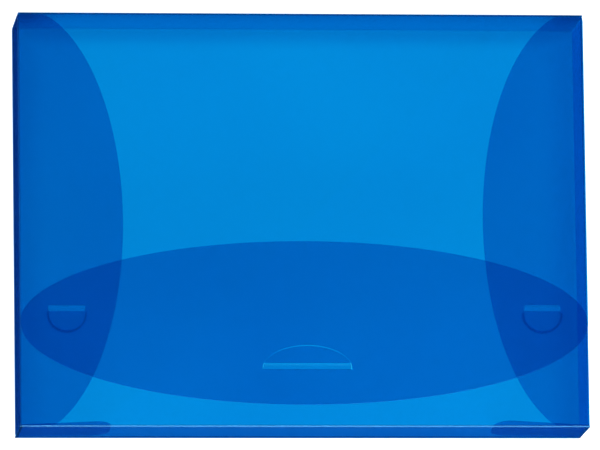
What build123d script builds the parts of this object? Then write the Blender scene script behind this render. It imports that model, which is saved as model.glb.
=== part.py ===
from build123d import *
import os
from math import atan2, cos, sin, radians, hypot

os.makedirs("parts", exist_ok=True)

# Document box for A4 sheets, folded from one die-cut, creased sheet of
# translucent plastic. It lies on its back. +Z is the way the front faces, +X is
# right, +Y runs from the bottom wall up to the lid's fold. Millimetres, origin at
# the middle of the footprint on the surface that the back rests on.

# ---------------------------------------------------------------- dimensions
W = 330.0            # outside width
H = 242.0            # outside height, bottom wall to top wall
D = 50.0             # outside depth at the closed lid
T = 0.8              # sheet thickness
GAP_SAME = 0.2       # between two layers of the tray that lie on each other
GAP_MOVE = 0.3       # between layers that move past each other
R_FOLD = 1.0         # outside radius of a fold in the tray
BEAD = T / 2         # radius of the web in a fold that opens
BEAD_END = 0.5       # from a fold's axis to the plates beside it

HT = T / 2
X_WALL = W / 2 - HT              # mid-plane of a side wall
Y_BOTTOM = -H / 2 + HT           # mid-plane of the bottom wall
Y_TOP = H / 2 - HT               # mid-plane of the top wall
Z_LID = D - HT                   # mid-planes of the layers in front
Z_SIDE_TONGUE = Z_LID - T - GAP_MOVE
Z_FRONT = Z_SIDE_TONGUE - T - GAP_SAME
Z_FLAP = Z_FRONT - T - GAP_SAME
Z_CENTRE_TONGUE = Z_LID + T + GAP_MOVE

# the front panel's top edge and the lid's free edge are halves of one ellipse
LENS_Y = -60.4
LENS_A = W / 2 - 0.3
LENS_B = 47.9
LID_CHAMFER = (2.4, 1.2)         # along Y, along X, at the lid's fold

# dust flaps: segments of an ellipse centred on the side folds
FLAP_A = 59.4
FLAP_B = 125.5
FLAP_Y = -1.0
FLAP_CORNER = 2.0

# corner tabs, tucked inside the bottom wall and springing inwards
TAB_LEN = 53.0
TAB_LEAN = 4.0                   # degrees
TAB_ROUND = 12.0
TAB_AXIS_X = W / 2 - T
TAB_AXIS_Y = -H / 2 + T + GAP_MOVE + T
TAB_BEAD = 0.3
TAB_RELIEF = 0.4

# centre lock: a half-round tongue of the front panel, bent out through the
# lid's slot and lying on the lid, tip up
C_SLOT_L = 53.0
C_SLOT_Y = (-88.0, -84.4)
C_ROOT_Y = -87.6                 # where the tongue leaves the front panel
C_FOLD_Y = -85.1                 # where it turns to lie on the lid
C_TIP_Y = -73.8
C_WIDTH = 52.0
C_ELLIPSE_Y = -87.0
C_KERF = 0.35

# side locks: half-round tongues of the dust flaps, bent out through the front
# panel's slots and lying on it under the lid, tip down
S_X = 138.0
S_SLOT_L = 21.6
S_SLOT_Y = (-53.7, -50.2)
S_ROOT_Y = -50.3
S_FOLD_Y = -53.4
S_TIP_Y = -66.4
S_WIDTH = 20.8
S_ELLIPSE_Y = -54.0
S_KERF = 0.35

# corner relief in the front panel's slots, round ends
SLOT_R = 0.6


# ---------------------------------------------------------------- helpers
def save(shape, node):
    shape.label = node
    export_step(shape, f"parts/{node}.step")


def block(x0, x1, y0, y1, z0, z1):
    return Pos((x0 + x1) / 2, (y0 + y1) / 2, (z0 + z1) / 2) * Box(
        x1 - x0, y1 - y0, z1 - z0
    )


def plate(face, z_mid):
    """A face drawn in XY, thickened to the sheet about z_mid."""
    return Pos(0, 0, z_mid - HT) * extrude(face, T, dir=(0, 0, 1))


def outline(*edges):
    return make_face(Curve() + list(edges))


def slot_face(x_mid, length, y0, y1, r):
    return Pos(x_mid, (y0 + y1) / 2) * RectangleRounded(length, y1 - y0, r)


def half_round(x_mid, y_base, y_centre, a, b, up):
    """Part of a half ellipse beyond y_base, towards +Y if up, else -Y."""
    s = 1 if up else -1
    big = Pos(x_mid, y_centre) * Ellipse(a, b)
    keep = Pos(x_mid, y_base + s * b) * Rectangle(4 * a, 2 * b)
    return (big & keep).faces()[0]


def strip_yz(points, x0, x1):
    """A closed polygon in the YZ plane, extruded from x0 to x1."""
    wire = Polyline(*[(x0, y, z) for y, z in points], close=True)
    return extrude(make_face(wire), x1 - x0, dir=(1, 0, 0))


def quarter_fold(u, v, su, sv):
    """Quarter of a ring with its corner towards (su, sv); (u, v) is its centre."""
    ring = Circle(R_FOLD) - Circle(R_FOLD - T)
    quadrant = Pos(su * R_FOLD, sv * R_FOLD) * Rectangle(2 * R_FOLD, 2 * R_FOLD)
    return Pos(u, v) * (ring & quadrant).faces()[0]


def fold_along_x(y, z, sy, sz, x0, x1):
    # sketch X -> Y, sketch Y -> Z, normal -> +X
    plane = Plane(origin=(x0, 0, 0), x_dir=(0, 1, 0), z_dir=(1, 0, 0))
    return extrude(plane * quarter_fold(y, z, sy, sz), x1 - x0, dir=(1, 0, 0))


def fold_along_y(x, z, sx, sz, y0, y1):
    # sketch X -> X, sketch Y -> Z, normal -> -Y
    plane = Plane(origin=(0, y0, 0), x_dir=(1, 0, 0), z_dir=(0, -1, 0))
    return extrude(plane * quarter_fold(x, z, sx, sz), y1 - y0, dir=(0, 1, 0))


def rod_x(y, z, r, x0, x1):
    return Pos((x0 + x1) / 2, y, z) * Rot(0, 90, 0) * Cylinder(r, x1 - x0)


def rod_z(x, y, r, z0, z1):
    return Pos(x, y, (z0 + z1) / 2) * Cylinder(r, z1 - z0)


def mirrored(shape):
    return mirror(shape, about=Plane.YZ)


# ---------------------------------------------------------------- back and bottom
SIDE_Y0 = TAB_AXIS_Y             # side walls stop short of the bottom and top walls
SIDE_Y1 = H / 2 - T - 0.4

back_panel = block(
    -W / 2 + R_FOLD, W / 2 - R_FOLD, -H / 2 + R_FOLD, Y_TOP - BEAD_END, 0, T
)
save(back_panel, "back_panel")

FRONT_OUT = Z_FRONT + HT
bottom_wall = block(
    -W / 2, W / 2, -H / 2, -H / 2 + T, R_FOLD, FRONT_OUT - R_FOLD
)
save(bottom_wall, "bottom_wall")

save(
    fold_along_x(-H / 2 + R_FOLD, R_FOLD, -1, -1, -W / 2, W / 2),
    "back_bottom_crease",
)
save(
    fold_along_x(-H / 2 + R_FOLD, FRONT_OUT - R_FOLD, -1, 1, -W / 2, W / 2),
    "front_bottom_crease",
)

# ---------------------------------------------------------------- front panel
y0 = -H / 2 + R_FOLD
front_face = outline(
    Line((-LENS_A, y0), (LENS_A, y0)),
    Line((LENS_A, y0), (LENS_A, LENS_Y)),
    EllipticalCenterArc((0, LENS_Y), LENS_A, LENS_B, start_angle=0, arc_size=180),
    Line((-LENS_A, LENS_Y), (-LENS_A, y0)),
)
# the tongue is cut out of the panel, so its flat length is missing above the root
ramp_dy, ramp_dz = C_FOLD_Y - C_ROOT_Y, Z_CENTRE_TONGUE - Z_FRONT
flat_tip = C_ROOT_Y + hypot(ramp_dy, ramp_dz) + (C_TIP_Y - C_FOLD_Y)
window = half_round(
    0, C_ROOT_Y, C_ROOT_Y, C_WIDTH / 2 + C_KERF, flat_tip - C_ROOT_Y + C_KERF, True
)
front_panel = plate(front_face, Z_FRONT) - plate(window, Z_FRONT)
for s in (-1, 1):
    front_panel -= plate(slot_face(s * S_X, S_SLOT_L, *S_SLOT_Y, SLOT_R), Z_FRONT)

# the root of the centre tongue, bent up through the lid's slot
ang = atan2(ramp_dz, ramp_dy)
nx, nz = -sin(ang), cos(ang)                  # across the ramp, in YZ
ey, ez = cos(ang), sin(ang)                   # along the ramp
top_y = C_FOLD_Y - BEAD_END * ey
top_z = Z_CENTRE_TONGUE - BEAD_END * ez
mitre = HT * (1 - cos(ang)) / sin(ang)        # where the bent faces meet
ramp = strip_yz(
    [
        (C_ROOT_Y, Z_FRONT - HT),
        (C_ROOT_Y + mitre, Z_FRONT - HT),
        (top_y - HT * nx, top_z - HT * nz),
        (top_y + HT * nx, top_z + HT * nz),
        (C_ROOT_Y - mitre, Z_FRONT + HT),
        (C_ROOT_Y - 2 * HT, Z_FRONT + HT),
        (C_ROOT_Y - 2 * HT, Z_FRONT - HT),
    ],
    -C_WIDTH / 2,
    C_WIDTH / 2,
)
front_panel = front_panel + ramp
save(front_panel, "front_panel")

# ---------------------------------------------------------------- side walls
FLAP_OUT = Z_FLAP + HT


def side_set(tag, flip):
    """Left-hand pieces, mirrored for the right."""
    x_out = -W / 2
    relief = rod_z(-TAB_AXIS_X, TAB_AXIS_Y, TAB_RELIEF, 0, D)

    wall = block(
        x_out, x_out + T, SIDE_Y0, SIDE_Y1, R_FOLD, FLAP_OUT - R_FOLD
    ) - relief
    back_fold = fold_along_y(x_out + R_FOLD, R_FOLD, -1, -1, SIDE_Y0 + 0.5, SIDE_Y1)
    flap_fold = fold_along_y(
        x_out + R_FOLD, FLAP_OUT - R_FOLD, -1, 1, SIDE_Y0 + 0.5, SIDE_Y1
    )

    # dust flap: the ellipse is centred on the side fold
    xc = x_out + R_FOLD
    body = Pos(xc, FLAP_Y) * Ellipse(FLAP_A, FLAP_B)
    fy0, fy1 = SIDE_Y0 + 0.5, SIDE_Y1
    keep = Pos(xc + FLAP_A, (fy0 + fy1) / 2) * Rectangle(2 * FLAP_A, fy1 - fy0)
    face = (body & keep).faces()[0]
    corners = [v for v in face.vertices() if v.X > xc + 1]
    face = fillet(corners, FLAP_CORNER)
    run, rise = S_ROOT_Y - S_FOLD_Y, Z_SIDE_TONGUE - Z_FLAP
    tip_flat = S_ROOT_Y - hypot(run, rise) - (S_FOLD_Y - S_TIP_Y)
    hole = half_round(
        -S_X, S_ROOT_Y, S_ROOT_Y, S_WIDTH / 2 + S_KERF,
        S_ROOT_Y - tip_flat + S_KERF, False,
    )
    flap = plate(face, Z_FLAP) - plate(hole, Z_FLAP)

    # lock tongue: root strip bent up through the front panel's slot, then the
    # half-round tip that lies on the front panel
    a = atan2(rise, run)
    k = HT * (1 - cos(a)) / sin(a)
    x0, x1 = -S_X - S_WIDTH / 2, -S_X + S_WIDTH / 2
    root = strip_yz(
        [
            (S_ROOT_Y, Z_FLAP - HT),
            (S_ROOT_Y - k, Z_FLAP - HT),
            (S_FOLD_Y - k, Z_SIDE_TONGUE - HT),
            (S_FOLD_Y - 1.0, Z_SIDE_TONGUE - HT),
            (S_FOLD_Y - 1.0, Z_SIDE_TONGUE + HT),
            (S_FOLD_Y + k, Z_SIDE_TONGUE + HT),
            (S_ROOT_Y, Z_FLAP + HT / cos(a)),
        ],
        x0,
        x1,
    )
    tip = plate(
        half_round(
            -S_X, S_FOLD_Y - 1.0, S_ELLIPSE_Y, S_WIDTH / 2,
            S_ELLIPSE_Y - S_TIP_Y, False,
        ),
        Z_SIDE_TONGUE,
    )
    tongue = root + tip

    # corner tab, drawn square to the wall and leaned inwards about its fold
    z0, z1 = T + 0.4, Z_FLAP - HT - 0.4
    tab = block(0, TAB_LEN, -T, 0, z0, z1)
    ends = tab.edges().filter_by(Axis.Y).sort_by(Axis.X)[-2:]
    tab = fillet(ends, TAB_ROUND)
    tab -= rod_z(0, 0, TAB_RELIEF, 0, D)
    tab = Pos(-TAB_AXIS_X, TAB_AXIS_Y, 0) * Rot(0, 0, TAB_LEAN) * tab
    tab_bead = rod_z(-TAB_AXIS_X, TAB_AXIS_Y, TAB_BEAD, z0, z1)

    pieces = {
        "side_wall": wall,
        "back_crease": back_fold,
        "flap_crease": flap_fold,
        "dust_flap": flap,
        "lock_tongue": tongue,
        "corner_tab": tab,
        "tab_crease": tab_bead,
    }
    for name, shape in pieces.items():
        save(mirrored(shape) if flip else shape, f"{tag}_{name}")


side_set("left", False)
side_set("right", True)

# ---------------------------------------------------------------- top wall and lid
cy, cx = LID_CHAMFER
top_wall = block(
    -W / 2 + 0.4, W / 2 - 0.4, Y_TOP - HT, Y_TOP + HT,
    HT + BEAD_END, Z_LID - BEAD_END,
)
save(top_wall, "top_wall")
save(rod_x(Y_TOP, HT, BEAD, -W / 2 + 0.4, W / 2 - 0.4), "back_top_crease")
save(rod_x(Y_TOP, Z_LID, BEAD, -W / 2 + 1.2, W / 2 - 1.2), "lid_crease")

y1 = Y_TOP - BEAD_END
lid_face = outline(
    Line((-LENS_A, LENS_Y), (-LENS_A, y1 - cy)),
    Line((-LENS_A, y1 - cy), (-LENS_A + cx, y1)),
    Line((-LENS_A + cx, y1), (LENS_A - cx, y1)),
    Line((LENS_A - cx, y1), (LENS_A, y1 - cy)),
    Line((LENS_A, y1 - cy), (LENS_A, LENS_Y)),
    EllipticalCenterArc((0, LENS_Y), LENS_A, LENS_B, start_angle=180, arc_size=180),
)
lid_flap = plate(lid_face, Z_LID) - plate(
    slot_face(0, C_SLOT_L, *C_SLOT_Y, SLOT_R), Z_LID
)
save(lid_flap, "lid_flap")

# ---------------------------------------------------------------- centre tongue
tongue_face = half_round(
    0, C_FOLD_Y + BEAD_END, C_ELLIPSE_Y, C_WIDTH / 2, C_TIP_Y - C_ELLIPSE_Y, True
)
save(plate(tongue_face, Z_CENTRE_TONGUE), "centre_lock_tongue")
save(
    rod_x(C_FOLD_Y, Z_CENTRE_TONGUE, BEAD, -C_WIDTH / 2 + 0.4, C_WIDTH / 2 - 0.4),
    "centre_tongue_crease",
)
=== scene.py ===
import math

import bpy
import numpy as np
from mathutils import Matrix, Vector
from mathutils.geometry import delaunay_2d_cdt


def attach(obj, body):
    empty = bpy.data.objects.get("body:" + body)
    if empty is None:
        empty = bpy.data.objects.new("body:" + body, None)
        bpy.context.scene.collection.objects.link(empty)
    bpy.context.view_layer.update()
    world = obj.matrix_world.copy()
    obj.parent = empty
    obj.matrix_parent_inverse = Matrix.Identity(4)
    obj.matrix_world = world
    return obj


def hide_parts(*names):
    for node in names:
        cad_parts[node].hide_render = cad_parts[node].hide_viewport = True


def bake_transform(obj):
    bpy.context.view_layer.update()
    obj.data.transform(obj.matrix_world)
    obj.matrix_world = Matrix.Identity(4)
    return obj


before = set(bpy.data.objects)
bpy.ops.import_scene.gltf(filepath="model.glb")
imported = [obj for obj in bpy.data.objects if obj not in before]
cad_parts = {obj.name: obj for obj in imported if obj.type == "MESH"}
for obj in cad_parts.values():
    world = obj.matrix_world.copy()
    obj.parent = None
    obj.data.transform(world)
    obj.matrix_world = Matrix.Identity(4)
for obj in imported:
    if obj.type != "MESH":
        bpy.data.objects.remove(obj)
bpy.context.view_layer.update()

# Document box for A4 sheets, folded from one creased sheet of translucent plastic,
# lying on its back. The box is built here the way it is made: each part of the
# blank is cut flat, with its slots and rounded cut edges, then rolled round its
# folds. All lengths in this part are millimetres, and become metres in make_sheet.

# ------------------------------------------------------------------ dimensions
W, H, T = 330.0, 242.0, 0.8
HT = T / 2
R_MID = 0.6                      # mid-surface radius of the tray's folds
R_HINGE = 0.5                    # and of the folds that open
Z_FLAP, Z_FRONT, Z_SIDE_TONGUE, Z_LID, Z_CENTRE = 46.5, 47.5, 48.5, 49.6, 50.7
X_IN, Y_IN = 164.0, -120.0       # where the back panel meets its folds
Y_HINGE = 120.1                  # where the back panel meets the top wall's fold
LENS_Y, LENS_A, LENS_B = -60.4, 164.7, 47.9
FLAP_A, FLAP_B, FLAP_Y = 59.4, 125.5, -1.0
SIDE_LO, SIDE_HI = -118.6, 120.1
FLAP_LO, WALL_LO = -119.9, -119.0
EDGE = 0.12                      # rounding of a cut edge
ROWS = 8                         # facets in a quarter fold


# ------------------------------------------------------------------ flat outlines
def signed_area(loop):
    p = np.asarray(loop, float)
    q = np.roll(p, -1, axis=0)
    return 0.5 * float(np.sum(p[:, 0] * q[:, 1] - q[:, 0] * p[:, 1]))


def oriented(loop, hole=False):
    """The loop turned so that the sheet is on its left."""
    loop = [tuple(p) for p in loop]
    return loop if (signed_area(loop) > 0) != hole else loop[::-1]


def tidy(loop, least=0.02):
    """Drops points that repeat the one before."""
    out = []
    for p in loop:
        if not out or math.dist(p, out[-1]) > least:
            out.append(p)
    if math.dist(out[0], out[-1]) <= least:
        out.pop()
    return out


def ellipse_arc(cx, cy, a, b, t0, t1, n):
    t = np.linspace(math.radians(t0), math.radians(t1), n + 1)
    return [(cx + a * math.cos(x), cy + b * math.sin(x)) for x in t]


def rounded_slot(cx, length, y0, y1, r, n=6):
    x0, x1 = cx - length / 2, cx + length / 2
    out = []
    for mx, my, t0 in (
        (x1 - r, y1 - r, 0), (x0 + r, y1 - r, 90), (x0 + r, y0 + r, 180), (x1 - r, y0 + r, 270),
    ):
        out += ellipse_arc(mx, my, r, r, t0, t0 + 90, n)
    return tidy(out)


def round_corner(before, corner, after, reach, n=6):
    """Points of a soft corner, from a point reach before it to one reach after."""
    c = np.array(corner, float)
    a = np.array(before, float) - c
    b = np.array(after, float) - c
    a, b = c + a / np.linalg.norm(a) * reach, c + b / np.linalg.norm(b) * reach
    return [tuple((1 - t) ** 2 * a + 2 * t * (1 - t) * c + t * t * b) for t in np.linspace(0, 1, n + 1)]


# ------------------------------------------------------------------ rolled profiles
class Profile:
    """A line in a plane, made of straight runs and round bends, walked by its length.
    Points are (a, b), and the sheet's outer side is to the right of the way walked if right, else to the left."""

    def __init__(self, start, heading, right):
        self.parts, self.at, self.dir, self.length = [], np.array(start, float), heading, 0.0
        self.right = right

    def run(self, length):
        self.parts.append(("run", self.length, length, self.at.copy(), self.dir, 0.0))
        self.at = self.at + length * np.array([math.cos(self.dir), math.sin(self.dir)])
        self.length += length
        return self

    def bend(self, degrees, radius):
        turn = math.radians(degrees)
        length = abs(turn) * radius
        self.parts.append(("bend", self.length, length, self.at.copy(), self.dir, math.copysign(1 / radius, turn)))
        self.at = self.point(self.length + length)[0]
        self.dir += turn
        self.length += length
        return self

    def point(self, s):
        part = self.parts[0]
        for p in self.parts:
            if s >= p[1] - 1e-9:
                part = p
        kind, s0, length, at, heading, curve = part
        d = s - s0
        if kind == "run":
            pos = at + d * np.array([math.cos(heading), math.sin(heading)])
            h = heading
        else:
            h = heading + d * curve
            pos = at + np.array([math.sin(h) - math.sin(heading), math.cos(heading) - math.cos(h)]) / curve
        n = np.array([math.sin(h), -math.cos(h)])
        return pos, (n if self.right else -n)

    def rows(self, guard=0.4):
        """Where the sheet needs a line across it: at each facet of a bend, and a little to each side of it."""
        out = []
        for kind, s0, length, *_ in self.parts:
            if kind == "bend":
                k = max(3, round(ROWS * length / (R_MID * math.pi / 2)))
                out += [s0 + length * i / k for i in range(k + 1)] + [s0 - guard, s0 + length + guard]
        return sorted(x for x in out if 0.05 < x < self.length - 0.05)


# ------------------------------------------------------------------ the sheet
def inset(loop, by):
    """The loop moved into the sheet, which is on its left."""
    p = np.asarray(loop, float)
    before, after = p - np.roll(p, 1, axis=0), np.roll(p, -1, axis=0) - p
    before /= np.linalg.norm(before, axis=1)[:, None]
    after /= np.linalg.norm(after, axis=1)[:, None]
    n0 = np.stack([-before[:, 1], before[:, 0]], 1)
    n1 = np.stack([-after[:, 1], after[:, 0]], 1)
    m = n0 + n1
    m /= np.maximum(np.sum(m * n0, axis=1), 0.35)[:, None]
    return p + by * m


def inside(points, loops):
    """Even-odd test of points against all loops at once."""
    x, y = points[:, 0], points[:, 1]
    hit = np.zeros(len(points), bool)
    for loop in loops:
        p = np.asarray(loop, float)
        q = np.roll(p, -1, axis=0)
        for (x0, y0), (x1, y1) in zip(p, q):
            if y0 == y1:
                continue
            cross = (y0 > y) != (y1 > y)
            hit ^= cross & (x < x0 + (y - y0) * (x1 - x0) / (y1 - y0))
    return hit


def cut_at(loop, moved, lines):
    """Adds a corner to the loop and to its inset copy wherever the inset copy crosses one of the lines."""
    pairs = [(np.asarray(p, float), np.asarray(q, float)) for p, q in zip(loop, moved)]
    for axis, at, lo, hi in lines:
        out = []
        for i, (p, q) in enumerate(pairs):
            if abs(q[axis] - at) < 2e-3 and lo <= q[1 - axis] <= hi:
                q = q.copy()
                q[axis] = at
            pairs[i] = (p, q)
        for i, (p, q) in enumerate(pairs):
            p2, q2 = pairs[(i + 1) % len(pairs)]
            out.append((p, q))
            if (q[axis] - at) * (q2[axis] - at) < 0:
                t = (at - q[axis]) / (q2[axis] - q[axis])
                cut = q + t * (q2 - q)
                cut[axis] = at
                if lo <= cut[1 - axis] <= hi:
                    out.append((p + t * (p2 - p), cut))
        pairs = out
    return np.array([p for p, _ in pairs]), np.array([q for _, q in pairs])


def make_sheet(name, outer, holes, place, lines=(), flip=False, grid=None, marks=None, rim_shine=0.15):
    """A closed piece of sheet. outer and holes are flat loops; place turns a flat point into its mid-surface point and
    outer normal.
    lines are where the flat sheet is cut into facets: (axis, value, lowest, highest) in the flat frame, with axis 0 for
    a fixed u and 1 for a fixed v.
    marks gives a flat point's share of fold, shine and shade for the material, where fold is painted shade on creases
    and shade is painted shade, or painted light where it is negative, and rim_shine is the cut edge's shine."""
    lines = list(lines)
    loops, inner = [], []
    for loop in [oriented(outer)] + [oriented(h, True) for h in holes]:
        loop, moved = cut_at(loop, inset(loop, EDGE), lines)
        loops.append(loop)
        inner.append(moved)
    steps = [0.0, 0.5, 1.0]                      # a quarter round cut edge
    rim = [(1 - math.sin(t * math.pi / 2), HT - EDGE * (1 - math.cos(t * math.pi / 2))) for t in steps]
    rim = rim + [(i, -h) for i, h in reversed(rim)]
    flat, edges, loop_index, keys = [], [], [], {}

    def add(p):
        key = (round(float(p[0]), 5), round(float(p[1]), 5))
        if key not in keys:
            keys[key] = len(flat)
            flat.append(Vector((float(p[0]), float(p[1]))))
        return keys[key]

    for moved in inner:
        index = [add(p) for p in moved]
        loop_index.append(index)
        edges += [(index[i], index[(i + 1) % len(index)]) for i in range(len(index))]
    for axis, at, lo, hi in lines:               # from boundary to boundary along each line
        on = {float(p[1 - axis]) for moved in inner for p in moved if p[axis] == at and lo <= p[1 - axis] <= hi}
        for end in (lo, hi):
            probe = np.array([[at, end] if axis == 0 else [end, at]])
            if inside(probe, inner)[0]:
                on.add(float(end))
        on = sorted(on)
        for c0, c1 in zip(on, on[1:]):
            mid = (c0 + c1) / 2
            probe = np.array([[at, mid] if axis == 0 else [mid, at]])
            if c1 - c0 > 1e-3 and inside(probe, inner)[0]:
                edges.append(tuple(add((at, c) if axis == 0 else (c, at)) for c in (c0, c1)))
    if grid:
        lo, hi = np.min(inner[0], axis=0), np.max(inner[0], axis=0)
        us = np.arange(lo[0] + grid / 2, hi[0], grid)
        vs = np.arange(lo[1] + grid / 2, hi[1], grid)
        pts = np.array([(u, v) for u in us for v in vs])
        keep = inside(pts, inner)
        bound = np.concatenate(inner)
        for p, k in zip(pts, keep):
            if k and np.min(np.hypot(*(bound - p).T)) > grid * 0.35:
                if all(abs(p[a] - at) > 1.0 for a, at, *_ in lines):
                    add(p)
    made = delaunay_2d_cdt(flat, edges, [], 0, 1e-7)
    points, tris, origin = np.array([tuple(v) for v in made[0]]), made[2], made[3]
    where = {}
    for new, olds in enumerate(origin):
        for old in olds:
            where[old] = new
    centres = np.array([points[list(t)].mean(axis=0) for t in tris])
    keep = inside(centres, inner)
    tris = [t for t, k in zip(tris, keep) if k]
    fixed = []
    for t in tris:
        a = signed_area([points[i] for i in t])
        if abs(a) < 1e-9:
            continue
        fixed.append(tuple(t) if a > 0 else tuple(t[::-1]))
    used = sorted({i for t in fixed for i in t})
    new_id = {old: k for k, old in enumerate(used)}
    verts, rims, look = [], [], []
    marks = marks or (lambda u, v: (0.0, 0.0, 0.0))
    n = len(used)
    placed = [place(*points[i]) for i in used]
    for side in (1, -1):                         # outer face, then inner face
        for (p, normal), i in zip(placed, used):
            verts.append(p + side * HT * normal)
            rims.append(0.0)
            look.append(marks(*points[i]))
    faces = [tuple(new_id[i] for i in reversed(t)) for t in fixed]
    faces += [tuple(n + new_id[i] for i in t) for t in fixed]
    for loop, moved, index in zip(loops, inner, loop_index):
        count = len(loop)
        rows = [[new_id[where[i]] for i in index]]
        for back, height in rim[1:-1]:
            row = []
            for i in range(count):
                p, normal = place(*(loop[i] + back * (moved[i] - loop[i])))
                row.append(len(verts))
                verts.append(p + height * normal)
                rims.append(1.0)
                look.append(marks(*loop[i]))
            rows.append(row)
        rows.append([n + i for i in rows[0]])
        for r0, r1 in zip(rows, rows[1:]):
            for i in range(count):
                j = (i + 1) % count
                faces.append((r0[i], r0[j], r1[j], r1[i]))
    if flip:
        faces = [f[::-1] for f in faces]
    mesh = bpy.data.meshes.new(name)
    mesh.from_pydata([tuple(0.001 * v) for v in np.array(verts)], [], faces)
    mesh.update()
    mesh.polygons.foreach_set("use_smooth", [True] * len(mesh.polygons))
    fold, shine, shade = zip(*look)
    shine = [max(a, rim_shine * b) for a, b in zip(shine, rims)]
    for label, values in (("cut_edge", rims), ("fold", fold), ("shine", shine), ("shade", shade)):
        mesh.attributes.new(label, "FLOAT", "POINT").data.foreach_set("value", values)
    mesh.set_sharp_from_angle(angle=math.radians(38))
    problems = mesh.validate(verbose=False)
    piece = bpy.data.objects.new(name, mesh)
    bpy.context.scene.collection.objects.link(piece)
    return piece


def vec(x, y, z):
    return np.array([x, y, z], float)


# ------------------------------------------------------------------ tray
# The tray is the back panel with the bottom wall and front panel folded up along
# one side, and the two side walls with their dust flaps along the ends.
A = R_MID * math.pi / 2
WALL_B = (Z_FRONT - R_MID) - 1.0                 # straight part of the bottom wall
WALL_S = (Z_FLAP - R_MID) - 1.0                  # and of a side wall
bottom = Profile((Y_IN, HT), math.pi, right=False).bend(-90, R_MID).run(WALL_B).bend(-90, R_MID).run(130)
side = Profile((-X_IN, HT), math.pi, right=False).bend(-90, R_MID).run(WALL_S).bend(-90, R_MID).run(70)
V_FRONT = Y_IN - (2 * A + WALL_B)                # flat v where the front panel starts
U_FLAP = -X_IN - (2 * A + WALL_S)                # flat u where the left dust flap starts


def tray_place(u, v):
    if v < Y_IN + 1e-6:
        (y, z), (ny, nz) = bottom.point(Y_IN - v)
        return vec(u, y, z), vec(0, ny, nz)
    if abs(u) > X_IN:
        (x, z), (nx, nz) = side.point(abs(u) - X_IN)
        s = -1.0 if u > 0 else 1.0
        return vec(s * x, v, z), vec(s * nx, 0, nz)
    return vec(u, v, HT), vec(0, 0, -1)


def front(x, y):
    return (x, V_FRONT - (y - Y_IN))


def flap(x, y):
    """A point of the left dust flap, flat."""
    return (U_FLAP - (x + X_IN), y)


def flap_x(y):
    return -X_IN + FLAP_A * math.sqrt(max(0.0, 1 - ((y - FLAP_Y) / FLAP_B) ** 2))


t_hi = math.degrees(math.asin((SIDE_HI - FLAP_Y) / FLAP_B))
t_lo = math.degrees(math.asin((FLAP_LO - FLAP_Y) / FLAP_B))
curve = ellipse_arc(-X_IN, FLAP_Y, FLAP_A, FLAP_B, t_hi, t_lo, 120)
head = round_corner((-X_IN, SIDE_HI), curve[0], curve[6], 2.4)
foot = round_corner(curve[-7], curve[-1], (-X_IN, FLAP_LO), 2.4)
curve = [p for p in curve if p[1] < head[-1][1] - 0.3 and p[1] > foot[0][1] + 0.3]
left_side = (
    [(-X_IN, SIDE_HI), (U_FLAP, SIDE_HI)]
    + [flap(*p) for p in head + curve + foot]
    + [
        (U_FLAP, FLAP_LO),
        (U_FLAP + A, FLAP_LO), (U_FLAP + A, WALL_LO),
        (-X_IN - A, WALL_LO), (-X_IN - A, SIDE_LO),
        (-X_IN, SIDE_LO), (-X_IN, Y_IN),
        (-W / 2, Y_IN), (-W / 2, V_FRONT), front(-LENS_A, Y_IN),
    ]
)
lens_top = [front(x, y) for x, y in ellipse_arc(0, LENS_Y, LENS_A, LENS_B, 180, 0, 180)]
right_side = [(-u, v) for u, v in reversed(left_side)]
outer = tidy([(-X_IN, Y_HINGE)] + left_side + lens_top + right_side + [(X_IN, Y_HINGE)])

C_ROOT_Y, C_FOLD_Y, C_TIP_Y = -87.6, -85.1, -74.3
S_ROOT_Y, S_FOLD_Y = -50.3, -53.4
C_FLAT = math.hypot(C_FOLD_Y - C_ROOT_Y, Z_CENTRE - Z_FRONT)
C_X = 0.95
S_X = {-1: -137.8, 1: 138.1}
window = ellipse_arc(C_X + 0.42, C_ROOT_Y, 26.2, C_FLAT + (C_TIP_Y - C_FOLD_Y) - 0.35, 0, 180, 48)
holes = [[front(*p) for p in window]]
for s, slot_x, slot_y in ((-1, -137.85, (-53.7, -50.2)), (1, 138.15, (-53.2, -49.7))):
    holes.append([front(*p) for p in rounded_slot(slot_x, 20.6, *slot_y, 0.6)])
    mid = S_X[s] + 0.3
    hole = [(mid - 10.6, S_ROOT_Y), (mid - 10.6, S_ROOT_Y - 3.3)]
    hole += ellipse_arc(mid, -55.2, 10.5, 9.5, 180, 360, 36)
    hole += [(mid + 10.6, S_ROOT_Y - 3.3), (mid + 10.6, S_ROOT_Y)]
    hole = [flap(-s * x, y) for x, y in hole]    # on the left flap, or mirrored onto it
    holes.append(hole if s < 0 else [(-u, v) for u, v in hole])

lines = [(1, Y_IN - s, -W, W) for s in bottom.rows()] + [(1, Y_IN, -W, W), (1, Y_IN + 0.4, -W, W)]
for s in (-1, 1):
    lines += [(0, s * (X_IN + r), -119.95, 120.1) for r in side.rows()]
    lines += [(0, s * X_IN, -119.95, 120.1), (0, s * (X_IN - 0.4), Y_IN, 130.0)]
    lines += [(0, s * (X_IN - x), V_FRONT - 0.4, Y_IN) for x in (0.0, 1.0)]


def in_bend(profile, s):
    """Which bend of the profile holds s, from 0, or None."""
    bends = [p for p in profile.parts if p[0] == "bend"]
    return next((k for k, p in enumerate(bends) if p[1] - 1e-3 < s < p[1] + p[2] + 1e-3), None)


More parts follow.
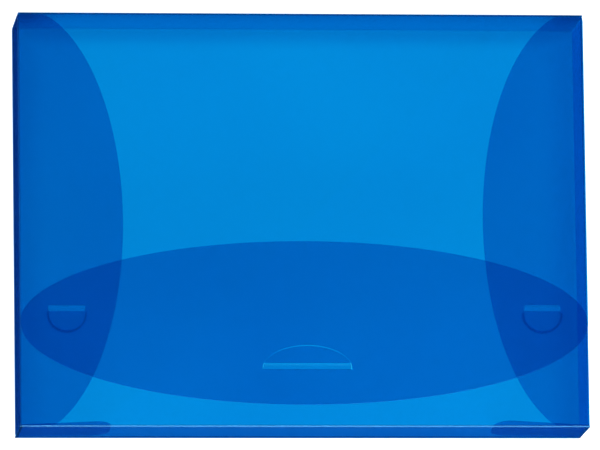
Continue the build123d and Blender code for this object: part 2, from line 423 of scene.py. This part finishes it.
def tray_marks(u, v):
    if v < Y_IN + 1e-3:
        # painted shade on the bottom wall's folds, heaviest on the back fold
        fold, shine = {None: (0.0, 0.0), 0: (1.0, 0.05), 1: (0.32, 0.62)}[in_bend(bottom, Y_IN - v)]
        if abs(u) > X_IN - 0.2 and V_FRONT + 0.3 < v:        # painted shade: the wall's cut ends are drawn darker with the full fold share
            fold = 1.0
        return (fold, shine, 0.0)
    s = abs(u) - X_IN
    if s > -1e-3 and v > Y_IN + 0.5:
        bend = in_bend(side, s)
        # painted shade on the side creases, with a share given one by one for each crease and side
        fold = {None: 0.0, 0: 0.7 if u < 0 else 0.05, 1: 0.45 if u < 0 else 0.9}[bend]
        up = (s - A) / WALL_S
        # painted shade on the left wall, drawn darker all over, and painted light on the right wall, drawn lighter with
        # a negative share, most at its foot
        wall = 0.0 if not -1e-3 < up < 1 + 1e-3 else 0.8 if u < 0 else 0.25 * up - 0.6
        return (fold, 0.0 if bend is None else 0.05, wall)
    return (0.0, 0.0, 0.0)


tray = make_sheet("tray_sheet", outer, holes, tray_place, lines, marks=tray_marks)

# ------------------------------------------------------------------ top wall
top = Profile((Y_HINGE, HT), 0.0, right=True).bend(90, R_HINGE).run(48.2)


def top_place(u, v):
    (y, z), (ny, nz) = top.point(v)
    return vec(u, y, z), vec(0, ny, nz)


def top_marks(u, v):
    """Painted shading: darker in tone towards the head and towards either end, and a little darker along its fold."""
    end = min(1.0, max(0.0, (abs(u) - 136) / 22)) ** 1.5
    up = max(0.0, v - 1.2) / top.length
    painted_end_shade = (1.9 if u < 0 else 1.5) * end * (0.3 + 0.7 * up)
    return (0.05 if in_bend(top, v) is not None else 0.0, 0.0, 1.1 * up**2 + painted_end_shade)


x1 = W / 2 - 0.4
top_wall = make_sheet(
    "top_wall_sheet",
    [(-x1, 0), (x1, 0), (x1, top.length), (-x1, top.length)],
    [],
    top_place,
    [(1, s, -W, W) for s in top.rows() + [9, 17, 25, 33, 41]]
    + [(0, s * x, -1.0, 60.0) for s in (-1, 1) for x in (136, 141, 147, 152, 158)],
    marks=top_marks,
)

# ------------------------------------------------------------------ lid
lid_profile = Profile((Y_HINGE + R_HINGE, Z_LID - R_HINGE), math.pi / 2, right=True).bend(90, R_HINGE).run(240)
A5 = R_HINGE * math.pi / 2


def lid_place(u, v):
    (y, z), (ny, nz) = lid_profile.point(v)
    return vec(u, y, z), vec(0, ny, nz)


def lid_flat(x, y):
    return (x, A5 + (Y_HINGE - y))


x2 = W / 2 - 1.2
half = (
    [(x2, 0.0), (x2, A5)]
    + [lid_flat(*p) for p in round_corner((x2 - 1, Y_HINGE), (LENS_A - 1.2, Y_HINGE), (LENS_A, Y_HINGE - 2.4), 0.7, 3)]
    + [lid_flat(*p) for p in round_corner((LENS_A - 1.2, Y_HINGE), (LENS_A, Y_HINGE - 2.4), (LENS_A, 0), 0.9, 4)]
)
lens_low = [lid_flat(x, y) for x, y in ellipse_arc(0, LENS_Y, LENS_A, LENS_B, 0, -180, 180)]
outline = tidy(half + lens_low + [(-u, v) for u, v in reversed(half)])
lid = make_sheet(
    "lid_sheet",
    outline,
    [[lid_flat(*p) for p in rounded_slot(C_X - 0.05, 51.5, -87.6, -84.0, 0.6)]],
    lid_place,
    [(1, s, -W, W) for s in lid_profile.rows()],
    # painted shade: the lid's fold is drawn darker
    marks=lambda u, v: (0.65 * (in_bend(lid_profile, v) is not None), 0.0, 0.0),
    rim_shine=0.6,
)


# ------------------------------------------------------------------ lock tongues
def bent_tongue(name, x_mid, start, corner, fold, direction, radius, half_outline, root=0.0):
    """A tongue that leaves its panel level at start, bends up at corner and lies level again after fold. direction is
    the way it points along Y.
    root is the share of fold on its sloping part, which is pressed in the slot; the fold share is painted shade that
    draws it darker."""
    dy, dz = abs(fold[0] - corner[0]), fold[1] - corner[1]
    turn = math.atan2(dz, dy)
    cut = radius * math.tan(turn / 2)
    up = Profile(start, 0.0, right=False)
    up.run(abs(corner[0] - start[0]) - cut + 1e-6).bend(math.degrees(turn), radius)
    up.run(math.hypot(dy, dz) - 2 * cut).bend(-math.degrees(turn), radius).run(30)
    outline = half_outline(up)

    def place(u, v):
        (a, z), (na, nz) = up.point(v)
        return (
            vec(x_mid + u, start[0] + direction * (a - start[0]), z),
            vec(0, direction * na, nz),
        )

    # walked towards +Y, a flat (u, v) has its face upwards, so the sides swap
    return make_sheet(
        name, outline, [], place, [(1, s, -W, W) for s in up.rows(0.3)], flip=direction > 0,
        marks=lambda u, v: (root if v < up.parts[3][1] - 1e-3 else 0.0, 0.0, 0.0),
    )


def centre_outline(up):
    s_fold = up.parts[3][1] + up.parts[3][2] / 2
    y_fold = C_FOLD_Y
    half = [(25.5, 0.0), (25.4, s_fold)]
    for x, y in ellipse_arc(0, -87.0, 25.5, C_TIP_Y + 87.0, 0, 90, 36):
        if y > y_fold + 0.4:
            half.append((x, s_fold + (y - y_fold)))
    return tidy(half + [(-u, v) for u, v in reversed(half)])


def side_outline(head):
    def outline(up):
        s_fold = up.parts[3][1] + up.parts[3][2] / 2
        half = [(10.15, 0.0), (10.15, s_fold - 0.2)]
        for x, y in ellipse_arc(0, -54.8, head, 11.7, 0, -90, 30):
            half.append((x, s_fold + (S_FOLD_Y - y)))
        return tidy(half + [(-u, v) for u, v in reversed(half)])

    return outline


centre_tongue = bent_tongue(
    "centre_lock_tongue_sheet", C_X, (C_ROOT_Y, Z_FRONT), (C_ROOT_Y + 0.33, Z_FRONT),
    (C_FOLD_Y, Z_CENTRE), 1, 0.6, centre_outline, root=0.08,
)
side_tongues = [
    bent_tongue(
        f"{tag}_lock_tongue_sheet", S_X[s], (S_ROOT_Y, Z_FLAP), (S_ROOT_Y - 0.24, Z_FLAP),
        (S_FOLD_Y, Z_SIDE_TONGUE), -1, 0.6, side_outline(head),
    )
    for tag, s, head in (("left", -1, 11.7), ("right", 1, 12.0))
]

# ------------------------------------------------------------------ corner tabs
def tab_piece(tag, s, lean):
    """A tab folded in behind the bottom wall. Its head stands off the wall by lean, and its foot lies nearly against it."""
    fold = Profile((-(W / 2 - HT), WALL_LO), -math.pi / 2, right=True)
    fold.bend(90 + lean, R_HINGE).run(52.9)
    z0, z1 = 1.2, 44.5
    length, start, r = fold.length, fold.parts[1][1], 12.0
    outline = [(z0, 0.0), (z1, 0.0)]
    outline += ellipse_arc(z1 - 1.5 * r, length - 0.8 * r, 1.5 * r, 0.8 * r, 0, 90, 14)
    outline += ellipse_arc(z0 + r, length - r, r, r, 90, 180, 12)

    def place(u, v):
        (x, y), (nx, ny) = fold.point(v)
        back = max(0.0, v - start) * math.sin(math.radians(lean)) * 0.85 * (1 - u / z1)
        return vec(-s * x, y - back, u), vec(-s * nx, ny, 0)

    return make_sheet(
        f"{tag}_corner_tab_sheet", tidy(outline), [], place,
        [(1, v, -W, W) for v in fold.rows()], flip=s > 0, grid=4.0,
    )


tabs = [tab_piece("left", -1, 2.4), tab_piece("right", 1, 3.2)]

# ------------------------------------------------------------------ material
def plastic(name, density=1350.0):
    """Translucent polypropylene: light is tinted through the wall's thickness, a little of it is scattered, and the skin has a faint grain."""
    mat = bpy.data.materials.new(name)
    mat.use_nodes = True
    nt = mat.node_tree
    nt.nodes.clear()

    def node(kind, **values):
        n = nt.nodes.new(kind)
        for k, v in values.items():
            if k.startswith("_"):
                setattr(n, k[1:], v)
            else:
                n.inputs[k.replace("__", " ")].default_value = v
        return n

    def link(a, b):
        nt.links.new(a, b)

    out = node("ShaderNodeOutputMaterial")
    coord = node("ShaderNodeTexCoord")
    # tint at each skin, with a very slow unevenness of the sheet
    drift = node("ShaderNodeTexNoise", Scale=14.0, Detail=0.0)
    link(coord.outputs["Object"], drift.inputs["Vector"])
    ramp = node("ShaderNodeValToRGB")
    ramp.color_ramp.elements[0].position = 0.3
    ramp.color_ramp.elements[0].color = (0.30, 0.793, 0.917, 1)
    ramp.color_ramp.elements[1].position = 0.7
    ramp.color_ramp.elements[1].color = (0.30, 0.806, 0.923, 1)
    link(drift.outputs["Fac"], ramp.inputs["Fac"])
    # painted shade: the back panel is drawn a little deeper in tone where it meets the walls, standing in for the
    # shadow there
    where = node("ShaderNodeSeparateXYZ")
    link(coord.outputs["Object"], where.inputs[0])
    across = node("ShaderNodeMath", _operation="ABSOLUTE")
    link(where.outputs["X"], across.inputs[0])
    near_wall_shade = []
    for source, lo, hi, most in (
        (across.outputs[0], 0.143, 0.1652, 0.10), (where.outputs["Y"], 0.107, 0.1212, 0.155),
        (where.outputs["Z"], 0.0014, 0.0012, 1.0),
    ):
        r = node("ShaderNodeMapRange", _interpolation_type="SMOOTHSTEP")
        r.inputs["From Min"].default_value = lo
        r.inputs["From Max"].default_value = hi
        r.inputs["To Max"].default_value = most
        link(source, r.inputs["Value"])
        near_wall_shade.append(r.outputs["Result"])
    rim = node("ShaderNodeMath", _operation="MAXIMUM")
    link(near_wall_shade[0], rim.inputs[0])
    link(near_wall_shade[1], rim.inputs[1])
    shade = node("ShaderNodeMath", _operation="MULTIPLY")
    link(rim.outputs[0], shade.inputs[0])
    link(near_wall_shade[2], shade.inputs[1])
    contact_shaded = node("ShaderNodeMix", _data_type="RGBA")
    link(shade.outputs[0], contact_shaded.inputs["Factor"])
    link(ramp.outputs["Color"], contact_shaded.inputs["A"])
    contact_shaded.inputs["B"].default_value = (0.0, 0.0, 0.45, 1)
    # painted shade: the far walls are drawn deeper in tone towards their heads, and a negative share draws a wall
    # lighter, as painted light
    head = node("ShaderNodeAttribute", _attribute_name="shade")
    painted_shade_share = node("ShaderNodeMapRange", _clamp=False)
    painted_shade_share.inputs["To Max"].default_value = 0.18
    link(head.outputs["Fac"], painted_shade_share.inputs["Value"])
    wall = node("ShaderNodeMix", _data_type="RGBA", _clamp_factor=False)
    link(painted_shade_share.outputs["Result"], wall.inputs["Factor"])
    link(contact_shaded.outputs["Result"], wall.inputs["A"])
    wall.inputs["B"].default_value = (0.0, 0.0, 0.25, 1)
    # painted shade: a fold, and every place given a fold share, is drawn deeper in tone than the flat sheet
    fold = node("ShaderNodeAttribute", _attribute_name="fold")
    painted_crease_shade = node("ShaderNodeMapRange")
    painted_crease_shade.inputs["To Max"].default_value = 0.85
    link(fold.outputs["Fac"], painted_crease_shade.inputs["Value"])
    folded = node("ShaderNodeMix", _data_type="RGBA")
    link(painted_crease_shade.outputs["Result"], folded.inputs["Factor"])
    link(wall.outputs["Result"], folded.inputs["A"])
    folded.inputs["B"].default_value = (0.0, 0.12, 0.35, 1)
    clear = node("ShaderNodeBsdfTransparent")
    link(folded.outputs["Result"], clear.inputs["Color"])
    # haze: light scattered in the sheet, back and through
    back = node("ShaderNodeBsdfDiffuse", Color=(0.0, 0.16, 0.62, 1), Roughness=0.5)
    through = node("ShaderNodeBsdfTranslucent", Color=(0.0, 0.20, 0.70, 1))
    haze = node("ShaderNodeMixShader", Fac=0.5)
    link(back.outputs[0], haze.inputs[1])
    link(through.outputs[0], haze.inputs[2])
    # grain of the rolled sheet
    grain = node("ShaderNodeTexNoise", Scale=1800.0, Detail=0.0)
    wave = node("ShaderNodeTexNoise", Scale=30.0, Detail=0.0)
    link(coord.outputs["Object"], grain.inputs["Vector"])
    link(coord.outputs["Object"], wave.inputs["Vector"])
    bump1 = node("ShaderNodeBump", Strength=0.15, Distance=0.00002)
    link(grain.outputs["Fac"], bump1.inputs["Height"])
    bump2 = node("ShaderNodeBump", Strength=0.2, Distance=0.0002)
    link(wave.outputs["Fac"], bump2.inputs["Height"])
    link(bump1.outputs["Normal"], bump2.inputs["Normal"])
    rough = node("ShaderNodeMapRange")
    rough.inputs["From Min"].default_value = 0.3
    rough.inputs["From Max"].default_value = 0.7
    rough.inputs["To Min"].default_value = 0.16
    rough.inputs["To Max"].default_value = 0.24
    link(drift.outputs["Fac"], rough.inputs["Value"])
    gloss = node("ShaderNodeBsdfGlossy", Color=(0.16, 0.62, 1.0, 1))
    link(bump2.outputs["Normal"], gloss.inputs["Normal"])
    # cut edges scatter and shine more than the faces, and so does the front fold, which is also rubbed
    polish = node("ShaderNodeAttribute", _attribute_name="shine")
    rubbed = node("ShaderNodeMath", _operation="MULTIPLY_ADD")
    rubbed.inputs[1].default_value = 0.22
    link(polish.outputs["Fac"], rubbed.inputs[0])
    link(rough.outputs["Result"], rubbed.inputs[2])
    link(rubbed.outputs[0], gloss.inputs["Roughness"])
    cut = node("ShaderNodeAttribute", _attribute_name="cut_edge")
    share = node("ShaderNodeMapRange")
    share.inputs["To Min"].default_value = 0.09
    share.inputs["To Max"].default_value = 0.22
    link(cut.outputs["Fac"], share.inputs["Value"])
    body = node("ShaderNodeMixShader")
    link(share.outputs["Result"], body.inputs["Fac"])
    link(clear.outputs[0], body.inputs[1])
    link(haze.outputs[0], body.inputs[2])
    shine = node("ShaderNodeMapRange")
    shine.inputs["To Min"].default_value = 0.010
    shine.inputs["To Max"].default_value = 0.195
    link(polish.outputs["Fac"], shine.inputs["Value"])
    surface = node("ShaderNodeMixShader")
    link(shine.outputs["Result"], surface.inputs["Fac"])
    link(body.outputs[0], surface.inputs[1])
    link(gloss.outputs[0], surface.inputs[2])
    # light leaving the sheet is only tinted, because it was scattered where it came in
    side_hit = node("ShaderNodeNewGeometry")
    leaving = node("ShaderNodeMixShader")
    link(side_hit.outputs["Backfacing"], leaving.inputs["Fac"])
    link(surface.outputs[0], leaving.inputs[1])
    link(clear.outputs[0], leaving.inputs[2])
    link(leaving.outputs[0], out.inputs["Surface"])
    # tint by depth
    depth = node("ShaderNodeVolumeAbsorption", Color=(0.0, 0.845, 0.933, 1), Density=density)
    link(depth.outputs[0], out.inputs["Volume"])
    return mat


sheet = plastic("blue_polypropylene")
tab_sheet = plastic("blue_polypropylene_tabs", density=480.0)      # a paler copy of the same plastic, painted light: the tabs are drawn lighter than their long path through the sheet gives
pieces = [tray, top_wall, lid, centre_tongue, *side_tongues, *tabs]
for p in pieces:
    p.data.materials.append(tab_sheet if p in tabs else sheet)

# ------------------------------------------------------------------ what each piece stands for
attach(tray, "tray")
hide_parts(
    "back_panel", "bottom_wall", "front_panel", "left_side_wall", "right_side_wall",
    "left_dust_flap", "right_dust_flap", "back_bottom_crease", "front_bottom_crease",
    "left_back_crease", "right_back_crease", "left_flap_crease", "right_flap_crease",
)
for p, tag in zip(side_tongues, ("left", "right")):
    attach(p, "tray")
    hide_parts(f"{tag}_lock_tongue")
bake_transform(top_wall)
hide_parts("top_wall", "back_top_crease")
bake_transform(lid)
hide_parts("lid_flap", "lid_crease")
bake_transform(centre_tongue)
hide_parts("centre_lock_tongue", "centre_tongue_crease")
for p, tag, s in zip(tabs, ("left", "right"), (-1, 1)):
    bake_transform(p)
    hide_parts(f"{tag}_corner_tab", f"{tag}_tab_crease")

# ------------------------------------------------------------------ floor, light and camera
scene = bpy.context.scene
bpy.ops.mesh.primitive_plane_add(size=24, location=(0, 0, -0.0003))
floor = bpy.context.object
floor.name = "studio_floor"
fm = bpy.data.materials.new("studio_floor")
fm.use_nodes = True
fb = fm.node_tree.nodes["Principled BSDF"]
fb.inputs["Base Color"].default_value = (0.60, 0.60, 0.60, 1)
fb.inputs["Roughness"].default_value = 0.9
fb.inputs["Specular IOR Level"].default_value = 0.0
fb.inputs["Emission Color"].default_value = (1, 1, 1, 1)
fb.inputs["Emission Strength"].default_value = 0.89
floor.data.materials.append(fm)

world = bpy.data.worlds.new("studio")
scene.world = world
world.use_nodes = True
wn = world.node_tree
bg = wn.nodes["Background"]
wc = wn.nodes.new("ShaderNodeTexCoord")
ws = wn.nodes.new("ShaderNodeSeparateXYZ")
wr = wn.nodes.new("ShaderNodeValToRGB")
wr.color_ramp.elements[0].position = 0.0
wr.color_ramp.elements[0].color = (1.0, 1.0, 1.0, 1)
wr.color_ramp.elements[1].position = 0.82
wr.color_ramp.elements[1].color = (0.02, 0.02, 0.02, 1)
e = wr.color_ramp.elements.new(0.45)
e.color = (0.75, 0.75, 0.75, 1)
wn.links.new(wc.outputs["Generated"], ws.inputs[0])
wn.links.new(ws.outputs["Z"], wr.inputs["Fac"])
wn.links.new(wr.outputs["Color"], bg.inputs["Color"])
bg.inputs["Strength"].default_value = 1.0


def softbox(name, location, target, size, watts):
    data = bpy.data.lights.new(name, "AREA")
    data.shape = "RECTANGLE"
    data.size, data.size_y = size
    data.energy = watts
    lamp = bpy.data.objects.new(name, data)
    scene.collection.objects.link(lamp)
    lamp.location = location
    lamp.rotation_euler = (Vector(target) - Vector(location)).to_track_quat("-Z", "Y").to_euler()
    return lamp


softbox("softbox_front", (0.15, -1.5, 1.15), (0, 0, 0.03), (1.8, 0.7), 45)
softbox("softbox_right", (1.9, 0.5, 0.9), (0, 0, 0.03), (0.9, 0.9), 12)
softbox("softbox_back", (-0.2, 1.9, 0.9), (0, 0, 0.03), (1.6, 0.6), 12)

# camera fitted to the corners seen in the photograph
RX, RY, RZ = -0.16332031, 0.09772827, -0.00293528
TX, TY, DIST = -2.62, -4.7416, 5266.489
FOCAL_PX = 9023.48
turn = (Matrix.Rotation(RZ, 3, "Z") @ Matrix.Rotation(RY, 3, "Y") @ Matrix.Rotation(RX, 3, "X")).transposed()
place = turn @ Vector((-TX, -TY, DIST)) * 0.001
cam = bpy.data.cameras.new("camera")
cam.sensor_width = 36.0
cam.lens = FOCAL_PX * 36.0 / 600.0
cam.clip_start, cam.clip_end = 0.1, 100.0
camera = bpy.data.objects.new("camera", cam)
camera.matrix_world = Matrix.Translation(place) @ turn.to_4x4()
scene.collection.objects.link(camera)
scene.camera = camera

scene.view_settings.view_transform = "Standard"
scene.cycles.transparent_max_bounces = 96
scene.cycles.max_bounces = 12
scene.cycles.diffuse_bounces = 5
